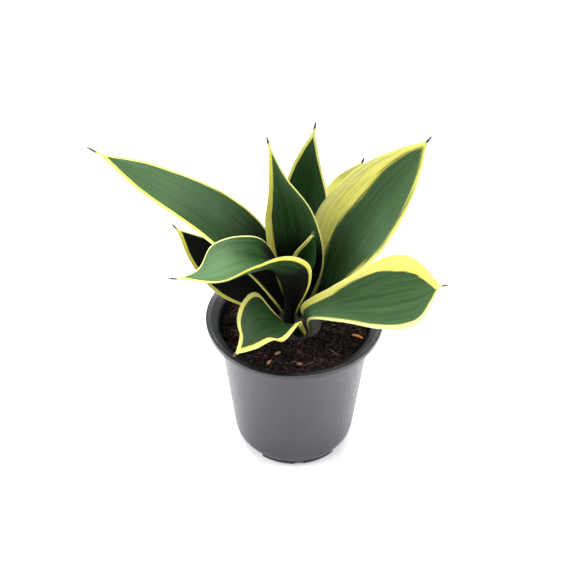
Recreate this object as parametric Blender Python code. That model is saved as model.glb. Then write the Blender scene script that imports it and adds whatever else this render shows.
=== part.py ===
"""Variegated snake plant in a round plastic nursery pot: pot, soil, rhizome, ten leaves, loose chips.

All sizes are in millimetres and become metres as the meshes are made. The pot's axis is the Z axis,
the pot stands on Z = 0 and the plant's front faces -Y.
"""
import math

import bmesh
import bpy
import numpy as np

MM = 0.001
GAP = 0.3

# Pot
RIM_RADIUS = 52.5
POT_HEIGHT = 93.4
WALL = 1.3
RIM_OVERHANG = 6.2
TAPER = 10.0
WALL_TOP_RADIUS = RIM_RADIUS - RIM_OVERHANG
WALL_BASE_RADIUS = WALL_TOP_RADIUS - TAPER
FLANGE = 3.9
LIP = 3.0
RIM_BEVEL = 0.8
LIP_BEVEL = 0.4
COLLAR_DROP = 19.0
COLLAR_STEP = 0.5
CORNER_HEIGHT = 10.0
CORNER_INSET = 1.4
FOOT_HEIGHT = 3.0
FOOT_INSET = 1.1
FOOT_WIDTH = 3.0
FOOT_BEVEL = 0.4
FOOT_REPEATS = 3
BASE_THICKNESS = 1.5
BOSS_RADIUS = 9.0
POT_SEGMENTS = 60
FOOT_TURN = -84.5
WIDE_GAP_ANGLE = 40.0
NOTCH_ANGLE = 10.0
DRAIN_COUNT = 6
DRAIN_WIDTH = 3.5
DRAIN_LENGTH = 11.0
DRAIN_TURN = 10.0
CUT_MARGIN = 1.0
SECTOR_STEP = 6.0

# Soil and rhizome
HEADSPACE = 9.4
SOIL_TOP = POT_HEIGHT - HEADSPACE
SOIL_RELIEF = 0.9
SOIL_DIP = 3.0
SOIL_SHOULDER = 1.5
SOIL_CORNER = 0.4
DISH_RADIUS = 24.3
SOIL_RINGS = 12
SOIL_SPOKES = 40
CROWN_Y = 6.0
CROWN_RADIUS = 18.0
CROWN_SEMI_HEIGHT = 14.0
CROWN_DEPTH = 8.0
CROWN_SPOKES = 32
CROWN_STEPS = 14
ROOT_RADIUS = 2.2
ROOT_TIP_RADIUS = 1.2
ROOT_CLEARANCE = 5.0
ROOT_START = 7.2
ROOT_DROP = 37.8
ROOT_SHOULDER = 26.5
ROOT_SHOULDER_INSET = 7.0
ROOT_TURNS = (20.0, 95.0, 165.0, 235.0, 305.0)

# Leaves
LEAF_THICKNESS = 2.6
LEAF_EDGE = 1.0
TIP_THINNING = 0.55
THINNEST = 0.4
SPINE_HALF_WIDTH = 0.9
SPINE_SHARE = 0.04
SPINE_POINT = 0.25
FOOT_SUNK = 2.0
LEAF_STEPS = 24
LEAF_LANES = 8

# Each leaf: the way it grows in degrees from +X, where its foot sits on the crown (degrees round it
# and share of its radius), the rest of its midrib up to the tip, and, spread evenly from foot to tip,
# its width, its roll about the midrib and how far each half cups up, in degrees.
# The midrib is measured from the point at the soil's level above the middle of the crown.
LEAVES = {
    "leaf_left_long": {
        "heading": 176,
        "foot": (135, 0.47),
        "path": ((-24, 6, 40), (-46, 5, 70), (-77, 3, 95), (-112, 4, 118)),
        "width": (12, 31, 38, 35, 28, 19, 0),
        "roll": (-12, -18, -24, -26, -28),
        "cup": (60, 50, 30, 22, 12),
    },
    "leaf_left_shaded": {
        "heading": 172,
        "foot": (-163, 0.58),
        "path": ((-26, 2, 14), (-42, 5, 27), (-56, 9, 43), (-71, 14, 60)),
        "width": (10, 26, 30, 24, 0),
        "roll": (0, -8, -20, -26, -30),
        "cup": (60, 50, 40, 35, 20),
    },
    "leaf_front_curled": {
        "heading": 200,
        "foot": (-125, 0.47),
        "path": ((-4, -10, 32), (-13, -18, 54), (-28, -27, 61), (-47, -36, 61), (-67, -42, 65)),
        "width": (9, 15, 31, 44, 46, 45, 38, 13, 0),
        "roll": (18, 28, 22, 12, 2, 0),
        "cup": (60, 70, 66, 56, 44, 20),
    },
    "leaf_center_upright": {
        "heading": 110,
        "foot": (81, 0.34),
        "path": ((3, 11, 40), (-2, 13, 70), (-10, 14, 94), (-16, 14, 119)),
        "width": (12, 36, 34, 13, 0),
        "roll": (-34, -34, -34, -36, -38),
        "cup": (60, 55, 45, 35, 15),
    },
    "leaf_back_upright": {
        "heading": 75,
        "foot": (113, 0.72),
        "path": ((4, 29, 36), (6, 36, 62), (7, 39, 86), (11, 38, 114)),
        "width": (12, 28, 32, 19, 0),
        "roll": (0, 3, 5, 8, 10),
        "cup": (60, 50, 40, 30, 15),
    },
    "leaf_back_right": {
        "heading": 50,
        "foot": (73, 0.76),
        "path": ((16, 37, 26), (28, 42, 50), (35, 49, 66), (40, 50, 83)),
        "width": (9, 24, 32, 24, 0),
        "roll": (8, 8, 8, 14, 20),
        "cup": (60, 50, 40, 30, 15),
    },
    "leaf_right_broad": {
        "heading": 25,
        "foot": (30, 0.76),
        "path": ((27, 13, 44), (44, 16, 75), (60, 15, 100), (73, 12, 121)),
        "width": (10, 32, 48, 45, 35, 19, 0),
        "roll": (20, 38, 40, 38, 36),
        "cup": (60, 52, 35, 25, 12),
    },
    "leaf_right_low": {
        "heading": -8,
        "foot": (-36, 0.70),
        "path": ((8, -17, 21), (25, -19, 29), (44, -18, 33), (66, -17, 38), (86, -21, 45)),
        "width": (8, 10, 13, 20, 28, 37, 43, 35, 0),
        "roll": (0, 40, 52, 54, 52, 45),
        "cup": (60, 45, 30, 22, 16, 10),
    },
    "leaf_front_small": {
        "heading": 232,
        "foot": (-76, 0.76),
        "path": ((-7, -26, 19), (-20, -36, 26), (-26, -48, 25), (-33, -59, 25)),
        "width": (9, 20, 42, 28, 12, 0),
        "roll": (30, 5, -22, -30, -35),
        "cup": (60, 55, 40, 35, 15),
    },
    "leaf_young_center": {
        "heading": 60,
        "foot": (-27, 0.12),
        "path": ((4, 2, 34), (7, 3, 46), (9, 2, 55), (10, 1, 65)),
        "width": (8, 17, 19, 12, 0),
        "roll": (0, 5, 5, 3, 0),
        "cup": (90, 90, 80, 70, 50),
    },
}

# Each chip: place in plan, length, width, thickness, turn in degrees, how far its middle lifts and color.
CHIPS = {
    "bark_chip_orange": (37.0, -10.0, 7.0, 1.9, 1.0, -22, 1.2, (0.48, 0.17, 0.06)),
    "bark_chip_tan": (-14.5, -32.0, 3.0, 2.0, 0.9, 60, 0.2, (0.36, 0.23, 0.12)),
    "bark_chip_red": (3.0, -33.0, 3.2, 2.0, 0.9, 10, 0.2, (0.18, 0.06, 0.03)),
    "bark_chip_brown": (-9.5, -23.5, 4.0, 1.8, 0.9, 35, 0.3, (0.28, 0.18, 0.10)),
}
CHIP_STEPS = 6
CHIP_LANES = 2
CHIP_GAP = 0.4
CHIP_TAPER = 1.6


def clear_scene():
    for item in list(bpy.data.objects):
        bpy.data.objects.remove(item, do_unlink=True)


def make_material(name, color, roughness, metallic=0.0):
    material = bpy.data.materials.new(name)
    material.use_nodes = True
    shader = material.node_tree.nodes["Principled BSDF"]
    shader.inputs["Base Color"].default_value = (*color, 1.0)
    shader.inputs["Roughness"].default_value = roughness
    shader.inputs["Metallic"].default_value = metallic
    return material


def make_object(name, vertices, faces, material=None, smooth=True):
    """One mesh object from millimetre vertices, with its faces turned outward."""
    mesh = bpy.data.meshes.new(name)
    scaled = [tuple(float(value) * MM for value in vertex) for vertex in vertices]
    mesh.from_pydata(scaled, [], faces)
    body = bmesh.new()
    body.from_mesh(mesh)
    bmesh.ops.recalc_face_normals(body, faces=body.faces)
    if body.calc_volume(signed=True) < 0:
        bmesh.ops.reverse_faces(body, faces=body.faces)
    body.to_mesh(mesh)
    body.free()
    for polygon in mesh.polygons:
        polygon.use_smooth = smooth
    if material:
        mesh.materials.append(material)
    item = bpy.data.objects.new(name, mesh)
    bpy.context.scene.collection.objects.link(item)
    return item


def hide_cutter(cutter):
    cutter.hide_render = True
    cutter.display_type = "WIRE"
    return cutter


def cut_away(item, cutter):
    modifier = item.modifiers.new("cut", "BOOLEAN")
    modifier.operation = "DIFFERENCE"
    modifier.solver = "EXACT"
    modifier.object = cutter


def ring_faces(rings, spokes, first=0):
    """Quads that join equal rings of vertices, one ring after the other."""
    faces = []
    for ring in range(rings - 1):
        for spoke in range(spokes):
            near = first + ring * spokes
            following = (spoke + 1) % spokes
            faces.append((near + spoke, near + following, near + spokes + following, near + spokes + spoke))
    return faces


def turned_body(profile, segments):
    """Vertices and faces of a solid of revolution whose profile starts and ends on the axis."""
    vertices = []
    for radius, height in profile[1:-1]:
        for segment in range(segments):
            angle = 2 * math.pi * segment / segments
            vertices.append((radius * math.cos(angle), radius * math.sin(angle), height))
    rings = len(profile) - 2
    faces = ring_faces(rings, segments)
    first_pole = len(vertices)
    vertices.append((0, 0, profile[0][1]))
    vertices.append((0, 0, profile[-1][1]))
    last_ring = (rings - 1) * segments
    for segment in range(segments):
        following = (segment + 1) % segments
        faces.append((first_pole, following, segment))
        faces.append((first_pole + 1, last_ring + segment, last_ring + following))
    return vertices, faces


def wall_radius(height):
    """Outer radius of the tapering wall, drawn in at the rounded corner by the base."""
    share = height / POT_HEIGHT
    radius = WALL_BASE_RADIUS + (WALL_TOP_RADIUS - WALL_BASE_RADIUS) * share
    below = max(0.0, 1 - (height - FOOT_HEIGHT) / (CORNER_HEIGHT - FOOT_HEIGHT))
    return radius - CORNER_INSET * below ** 2


def inner_radius(height):
    return wall_radius(height) - WALL


def pot_profile():
    base_top = FOOT_HEIGHT + BASE_THICKNESS
    lip_bottom = POT_HEIGHT - LIP
    collar_bottom = POT_HEIGHT - COLLAR_DROP
    foot_radius = wall_radius(FOOT_HEIGHT) - FOOT_INSET
    corner_middle = (FOOT_HEIGHT + CORNER_HEIGHT) / 2
    flange_inside = RIM_RADIUS - FLANGE
    return [
        (0, 0),
        (BOSS_RADIUS, 0),
        (BOSS_RADIUS, FOOT_HEIGHT),
        (foot_radius - FOOT_WIDTH, FOOT_HEIGHT),
        (foot_radius - FOOT_WIDTH, 0),
        (foot_radius, 0),
        (foot_radius, FOOT_HEIGHT + FOOT_BEVEL),
        (wall_radius(FOOT_HEIGHT), FOOT_HEIGHT + 2 * FOOT_BEVEL),
        (wall_radius(corner_middle), corner_middle),
        (wall_radius(CORNER_HEIGHT), CORNER_HEIGHT),
        (wall_radius(collar_bottom), collar_bottom),
        (wall_radius(collar_bottom) + COLLAR_STEP, collar_bottom + COLLAR_STEP),
        (wall_radius(lip_bottom) + COLLAR_STEP, lip_bottom),
        (RIM_RADIUS - LIP_BEVEL, lip_bottom),
        (RIM_RADIUS, lip_bottom + LIP_BEVEL),
        (RIM_RADIUS, POT_HEIGHT - RIM_BEVEL),
        (RIM_RADIUS - RIM_BEVEL, POT_HEIGHT),
        (flange_inside + RIM_BEVEL, POT_HEIGHT),
        (flange_inside, POT_HEIGHT - RIM_BEVEL),
        (inner_radius(lip_bottom), lip_bottom - WALL),
        (inner_radius(CORNER_HEIGHT), CORNER_HEIGHT),
        (inner_radius(corner_middle), corner_middle),
        (inner_radius(base_top) - SOIL_CORNER, base_top),
        (0, base_top),
    ]


def sector_cutter(name, middle, width, inner, outer, bottom, top):
    """A curved block between two radii and two heights, centred on one angle."""
    steps = max(2, round(width / SECTOR_STEP))
    vertices = []
    for step in range(steps + 1):
        angle = math.radians(middle + width * (step / steps - 0.5))
        for radius, height in ((inner, bottom), (outer, bottom), (outer, top), (inner, top)):
            vertices.append((radius * math.cos(angle), radius * math.sin(angle), height))
    faces = ring_faces(steps + 1, 4)
    faces.append((3, 2, 1, 0))
    last = steps * 4
    faces.append((last, last + 1, last + 2, last + 3))
    return hide_cutter(make_object(name, vertices, faces, smooth=False))


def make_pot():
    material = make_material("pot_plastic", (0.03, 0.031, 0.036), 0.38)
    vertices, faces = turned_body(pot_profile(), POT_SEGMENTS)
    pot = make_object("nursery_pot", vertices, faces, material)
    foot_outer = wall_radius(FOOT_HEIGHT) - FOOT_INSET
    foot_inner = foot_outer - FOOT_WIDTH
    foot_span = (foot_inner - CUT_MARGIN, foot_outer + CUT_MARGIN, -CUT_MARGIN, FOOT_HEIGHT)
    period = 360 / FOOT_REPEATS
    for turn in range(FOOT_REPEATS):
        notch = FOOT_TURN + turn * period
        cut_away(pot, sector_cutter(f"notch_cutter_{turn}", notch, NOTCH_ANGLE, *foot_span))
        cut_away(pot, sector_cutter(f"gap_cutter_{turn}", notch + period / 2, WIDE_GAP_ANGLE, *foot_span))
    drain_radius = (BOSS_RADIUS + foot_inner) / 2
    drain_angle = math.degrees(DRAIN_WIDTH / drain_radius)
    drain_start = drain_radius - DRAIN_LENGTH / 2
    base_top = FOOT_HEIGHT + BASE_THICKNESS
    drain_span = (drain_start, drain_start + DRAIN_LENGTH, FOOT_HEIGHT - CUT_MARGIN, base_top + CUT_MARGIN)
    for turn in range(DRAIN_COUNT):
        middle = DRAIN_TURN + turn * 360 / DRAIN_COUNT
        cut_away(pot, sector_cutter(f"drain_cutter_{turn}", middle, drain_angle, *drain_span))
    return pot


def soil_height(x, y):
    """Height of the lumpy soil: level by the wall, lower in a dish around the rhizome."""
    broad_lumps = math.sin(0.31 * x + 1.3) * math.cos(0.27 * y - 0.4)
    small_lumps = math.sin(0.53 * x - 0.44 * y)
    dish = math.exp(-(math.hypot(x, y - CROWN_Y) / DISH_RADIUS) ** 4)
    lumps = SOIL_RELIEF * (0.6 * broad_lumps + 0.4 * small_lumps)
    return SOIL_TOP + lumps * (1 - dish) - SOIL_DIP * dish


def make_soil(crown_cutter):
    material = make_material("dark_potting_soil", (0.018, 0.011, 0.008), 0.95)
    base_top = FOOT_HEIGHT + BASE_THICKNESS
    corner_middle = (FOOT_HEIGHT + CORNER_HEIGHT) / 2
    top_radius = inner_radius(SOIL_TOP) - GAP
    vertices = []
    rings = [(inner_radius(base_top) - 2 * SOIL_CORNER - GAP, base_top + GAP)]
    for height in (corner_middle, CORNER_HEIGHT, (CORNER_HEIGHT + SOIL_TOP) / 2):
        rings.append((inner_radius(height) - 2 * GAP, height))
    for radius, height in rings:
        for spoke in range(SOIL_SPOKES):
            angle = 2 * math.pi * spoke / SOIL_SPOKES
            vertices.append((radius * math.cos(angle), radius * math.sin(angle), height))
    for ring in range(SOIL_RINGS):
        radius = top_radius * (1 - ring / SOIL_RINGS)
        for spoke in range(SOIL_SPOKES):
            angle = 2 * math.pi * spoke / SOIL_SPOKES
            x = radius * math.cos(angle)
            y = radius * math.sin(angle)
            drop = SOIL_SHOULDER if ring == 0 else 0.0
            vertices.append((x, y, soil_height(x, y) - drop))
    ring_count = len(rings) + SOIL_RINGS
    faces = ring_faces(ring_count, SOIL_SPOKES)
    bottom = len(vertices)
    vertices.append((0, 0, base_top + GAP))
    vertices.append((0, 0, soil_height(0, 0)))
    last_ring = (ring_count - 1) * SOIL_SPOKES
    for spoke in range(SOIL_SPOKES):
        following = (spoke + 1) % SOIL_SPOKES
        faces.append((bottom, following, spoke))
        faces.append((bottom + 1, last_ring + spoke, last_ring + following))
    soil = make_object("potting_soil", vertices, faces, material)
    cut_away(soil, crown_cutter)
    return soil


def tube(name, points, radii, sides=10):
    """A closed round tube along a few points, with a flat cap at each end."""
    vertices = []
    for index, point in enumerate(points):
        before = points[max(index - 1, 0)]
        after = points[min(index + 1, len(points) - 1)]
        ahead = np.subtract(after, before)
        ahead = ahead / np.linalg.norm(ahead)
        side = np.cross(ahead, (0, 0, 1))
        side = side / np.linalg.norm(side)
        up = np.cross(side, ahead)
        for corner in range(sides):
            angle = 2 * math.pi * corner / sides
            offset = math.cos(angle) * side + math.sin(angle) * up
            vertices.append(tuple(np.add(point, radii[index] * offset)))
    faces = ring_faces(len(points), sides)
    faces.append(tuple(range(sides)))
    last = (len(points) - 1) * sides
    faces.append(tuple(range(last + sides - 1, last - 1, -1)))
    return make_object(name, vertices, faces)


def crown_solid(name, grow):
    """The rhizome's rounded crown with its roots, made thicker all round by the amount given."""
    centre = np.array((0, CROWN_Y, SOIL_TOP - CROWN_DEPTH))
    profile = []
    for step in range(CROWN_STEPS + 1):
        angle = math.pi * (step / CROWN_STEPS - 0.5)
        radius = (CROWN_RADIUS + grow) * math.cos(angle)
        profile.append((radius, (CROWN_SEMI_HEIGHT + grow) * math.sin(angle)))
    vertices, faces = turned_body(profile, CROWN_SPOKES)
    crown = make_object(name, [np.add(vertex, centre) for vertex in vertices], faces)
    for number, turn in enumerate(ROOT_TURNS):
        way = np.array((math.cos(math.radians(turn)), math.sin(math.radians(turn)), 0))
        low = centre[2] - ROOT_DROP
        reach = inner_radius(low) - ROOT_CLEARANCE - ROOT_RADIUS
        start = centre + ROOT_START * way
        shoulder = np.array((0, 0, low + ROOT_SHOULDER)) + (reach - ROOT_SHOULDER_INSET) * way
        end = np.array((0, 0, low - grow)) + (reach + grow) * way
        radii = (ROOT_RADIUS + grow, ROOT_RADIUS + grow, ROOT_TIP_RADIUS + grow)
        root = hide_cutter(tube(f"{name}_root_{number}", [start, shoulder, end], radii))
        modifier = crown.modifiers.new("root", "BOOLEAN")
        modifier.operation = "UNION"
        modifier.solver = "EXACT"
        modifier.object = root
    return crown


def along(values, share):
    """A smooth curve through evenly spaced values, read at a share of its length from 0 to 1."""
    values = np.array(values, dtype=float)
    last = len(values) - 1
    ends = np.concatenate([[2 * values[0] - values[1]], values, [2 * values[-1] - values[-2]]])
    place = min(max(share, 0.0), 1.0) * last
    index = min(int(place), last - 1)
    step = place - index
    before, start, end, after = ends[index:index + 4]
    return 0.5 * (
        2 * start
        + (end - before) * step
        + (2 * before - 5 * start + 4 * end - after) * step ** 2
        + (3 * start - before - 3 * end + after) * step ** 3
    )


def foot_point(turn, out):
    """Where a leaf's foot starts: under the crown's skin, measured from above the crown's middle."""
    turn = math.radians(turn)
    rise = CROWN_SEMI_HEIGHT * math.sqrt(1 - out ** 2) - CROWN_DEPTH
    return (out * CROWN_RADIUS * math.cos(turn), out * CROWN_RADIUS * math.sin(turn), rise - FOOT_SUNK)


def leaf_section(leaf, share):
    """Midrib point, across and face directions, half width and cup angle at one share of the leaf."""
    path = (foot_point(*leaf["foot"]), *leaf["path"])
    small = 0.001
    ahead = along(path, share + small) - along(path, share - small)
    ahead = ahead / np.linalg.norm(ahead)
    heading = math.radians(leaf["heading"])
    left = np.array((-math.sin(heading), math.cos(heading), 0))
    left = left - left.dot(ahead) * ahead
    left = left / np.linalg.norm(left)
    up = np.cross(ahead, left)
    roll = math.radians(along(leaf["roll"], share))
    across = math.cos(roll) * left + math.sin(roll) * up
    face = math.cos(roll) * up - math.sin(roll) * left
    blade = along(leaf["width"], share / (1 - SPINE_SHARE)) / 2
    spine = SPINE_HALF_WIDTH * math.sqrt(min(1.0, (1 - share) / SPINE_SHARE))
    cup = math.radians(along(leaf["cup"], share))
    return along(path, share), across, face, max(blade, spine, SPINE_POINT), cup


def leaf_sheets(leaf):
    """The upper and the lower skin of a leaf as two equal grids of points."""
    upper = []
    lower = []
    for step in range(LEAF_STEPS + 1):
        share = step / LEAF_STEPS
        point, across, face, half_width, cup = leaf_section(leaf, share)
        for lane in range(LEAF_LANES + 1):
            offset = 2 * lane / LEAF_LANES - 1
            angle = offset * cup
            middle = point + half_width / cup * (math.sin(angle) * across + (1 - math.cos(angle)) * face)
            normal = math.cos(angle) * face - math.sin(angle) * across
            thickness = LEAF_EDGE + (LEAF_THICKNESS - LEAF_EDGE) * (1 - offset ** 2)
            thickness = thickness * max(1 - TIP_THINNING * share ** 2, THINNEST)
            upper.append(middle + normal * thickness / 2)
            lower.append(middle - normal * thickness / 2)
    return upper, lower


def sheet_faces(steps, lanes):
    """Faces of a closed sheet from two equal grids of points, its upper and its lower skin."""
    row = lanes + 1
    count = (steps + 1) * row
    faces = []
    for step in range(steps):
        for lane in range(lanes):
            corner = step * row + lane
            quad = (corner, corner + row, corner + row + 1, corner + 1)
            faces.append(quad)
            faces.append(tuple(index + count for index in reversed(quad)))
    left_edge = [step * row for step in range(steps + 1)]
    right_edge = [edge + lanes for edge in reversed(left_edge)]
    start = list(reversed(range(row)))
    finish = [steps * row + lane for lane in range(row)]
    for line in (left_edge, right_edge, start, finish):
        for first, second in zip(line[:-1], line[1:]):
            faces.append((first, first + count, second + count, second))
    return faces


def make_leaf(name, leaf, crown_cutter):
    material = make_material(f"{name}_green", (0.03, 0.08, 0.03), 0.42)
    upper, lower = leaf_sheets(leaf)
    origin = np.array((0, CROWN_Y, SOIL_TOP))
    vertices = [point + origin for point in upper + lower]
    item = make_object(name, vertices, sheet_faces(LEAF_STEPS, LEAF_LANES), material)
    cut_away(item, crown_cutter)
    return item


def make_chip(name, x, y, length, width, thickness, turn, lift, color):
    """A small bark chip that lies on the soil and follows it underneath."""
    turn = math.radians(turn)
    top = []
    bottom = []
    for step in range(CHIP_STEPS + 1):
        for lane in range(CHIP_LANES + 1):
            run = step / CHIP_STEPS - 0.5
            side = lane / CHIP_LANES - 0.5
            taper = 1 - CHIP_TAPER * run ** 2
            ahead = length * run
            aside = width * side * taper
            chip_x = x + ahead * math.cos(turn) - aside * math.sin(turn)
            chip_y = y + ahead * math.sin(turn) + aside * math.cos(turn)
            base = soil_height(chip_x, chip_y) + CHIP_GAP + lift * (1 - 4 * run ** 2)
            bottom.append((chip_x, chip_y, base))
            top.append((chip_x, chip_y, base + thickness * taper * (1 - side ** 2)))
    material = make_material(f"{name}_wood", color, 0.8)
    return make_object(name, top + bottom, sheet_faces(CHIP_STEPS, CHIP_LANES), material)


def build():
    clear_scene()
    make_pot()
    rhizome = crown_solid("rhizome", 0.0)
    rhizome.data.materials.append(make_material("rhizome_skin", (0.22, 0.13, 0.05), 0.7))
    crown_cutter = hide_cutter(crown_solid("crown_cutter", GAP))
    make_soil(crown_cutter)
    for name, leaf in LEAVES.items():
        make_leaf(name, leaf, crown_cutter)
    for name, chip in CHIPS.items():
        make_chip(name, *chip)


build()
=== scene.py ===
"""Looks of the potted snake plant: fine leaves, soil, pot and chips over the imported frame.

Sizes are in millimetres, in the frame's own axes: the pot's axis is Z, the floor is Z = 0 and the
plant's front faces -Y.
"""
import math
import random

import bmesh
import bpy
import numpy as np
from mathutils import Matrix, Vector, noise


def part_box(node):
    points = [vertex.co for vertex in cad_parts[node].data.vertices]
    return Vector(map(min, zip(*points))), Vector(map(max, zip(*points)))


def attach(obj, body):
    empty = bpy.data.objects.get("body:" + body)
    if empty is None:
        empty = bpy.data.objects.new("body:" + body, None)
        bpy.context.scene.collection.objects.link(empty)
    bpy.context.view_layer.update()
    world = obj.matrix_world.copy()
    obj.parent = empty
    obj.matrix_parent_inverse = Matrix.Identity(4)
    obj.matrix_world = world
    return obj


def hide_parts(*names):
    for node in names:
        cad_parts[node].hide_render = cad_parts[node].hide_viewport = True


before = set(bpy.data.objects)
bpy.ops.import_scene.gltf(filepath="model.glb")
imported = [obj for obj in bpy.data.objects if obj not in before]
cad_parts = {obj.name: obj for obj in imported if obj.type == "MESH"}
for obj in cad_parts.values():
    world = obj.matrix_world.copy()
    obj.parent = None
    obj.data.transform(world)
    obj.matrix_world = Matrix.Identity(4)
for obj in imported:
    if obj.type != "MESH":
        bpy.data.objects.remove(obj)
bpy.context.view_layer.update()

MM = 0.001
DICE_SEED = 7
POT_TOP_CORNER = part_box("nursery_pot")[1]

# Pot
RIM_RADIUS = POT_TOP_CORNER[0] / MM
POT_HEIGHT = POT_TOP_CORNER[2] / MM
WALL = 1.3
RIM_OVERHANG = 6.2
TAPER = 10.0
WALL_TOP_RADIUS = RIM_RADIUS - RIM_OVERHANG
WALL_BASE_RADIUS = WALL_TOP_RADIUS - TAPER
FLANGE = 3.9
LIP = 3.0
RIM_BEVEL = 0.7
RIM_SINK = 0.25
COLLAR_DROP = 19.0
COLLAR_STEP = 0.5
CORNER_HEIGHT = 10.0
CORNER_INSET = 1.4
FOOT_HEIGHT = 3.0
FOOT_INSET = 1.1
FOOT_WIDTH = 3.0
FOOT_BEVEL = 0.4
FOOT_REPEATS = 3
FOOT_TURN = -84.5
WIDE_GAP_ANGLE = 40.0
NOTCH_ANGLE = 10.0
BASE_THICKNESS = 1.5
BOSS_RADIUS = 9.0
DRAIN_COUNT = 6
DRAIN_WIDTH = 3.5
DRAIN_LENGTH = 11.0
DRAIN_TURN = 10.0
CUT_MARGIN = 1.0
SECTOR_STEP = 2.0
POT_SEGMENTS = 240
ARC_STEPS = 3
ARC_MOST = 0.45
SHARP_ANGLE = 35.0

# Soil
GAP = 0.3
HEADSPACE = 9.4
SOIL_TOP = POT_HEIGHT - HEADSPACE
SOIL_RELIEF = 0.9
SOIL_DIP = 3.0
DISH_RADIUS = 24.3
SOIL_CORNER = 0.4
SOIL_SPOKES = 260
SOIL_RINGS = 84
SOIL_RING_CROWDING = 0.9
SOIL_LID_DEPTH = 2.5
SOIL_EDGE_DROP = 0.8
ROUGHNESS_WAVES = 0.42
ROUGHNESS_HEIGHT = 0.9
ROUGHNESS_SINK = 0.4
TINT_WAVES = 0.35

# Loose crumbs and fibres on the soil
CRUMB_COUNT = 3200
CRUMB_WALL_GAP = 1.2
CRUMB_SMALLEST = 0.35
CRUMB_SPREAD = 1.0
CRUMB_BULGE = 0.45
CRUMB_FLATNESS = 0.75
CRUMB_SEED_STEP = 0.37
RED_PEAT_SIDE = -12.0
RED_PEAT_TINT = 0.30
FIBRE_COUNT = 300
FIBRE_WALL_GAP = 2.5
FIBRE_LENGTHS = (2.5, 9.0)
FIBRE_RADII = (0.09, 0.12, 0.16, 0.26)
FIBRE_BEND = 0.35
FIBRE_LIFTS = (0.2, 1.1)
FIBRE_SIDES = 5
FIBRE_STEPS = 9

# Crown of the rhizome, on which the leaves stand
CROWN_Y = 6.0
CROWN_RADIUS = 18.0
CROWN_SEMI_HEIGHT = 14.0
CROWN_DEPTH = 8.0
ABOVE_CROWN = np.array((0.0, CROWN_Y, SOIL_TOP))

# Leaves
LEAF_THICKNESS = 2.6
LEAF_EDGE = 1.0
TIP_THINNING = 0.55
THINNEST = 0.4
SPINE_HALF_WIDTH = 0.9
SPINE_SHARE = 0.04
SPINE_POINT = 0.2
FOOT_SUNK = 2.0
LEAF_STEPS = 170
LEAF_ROUND = 56

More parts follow.
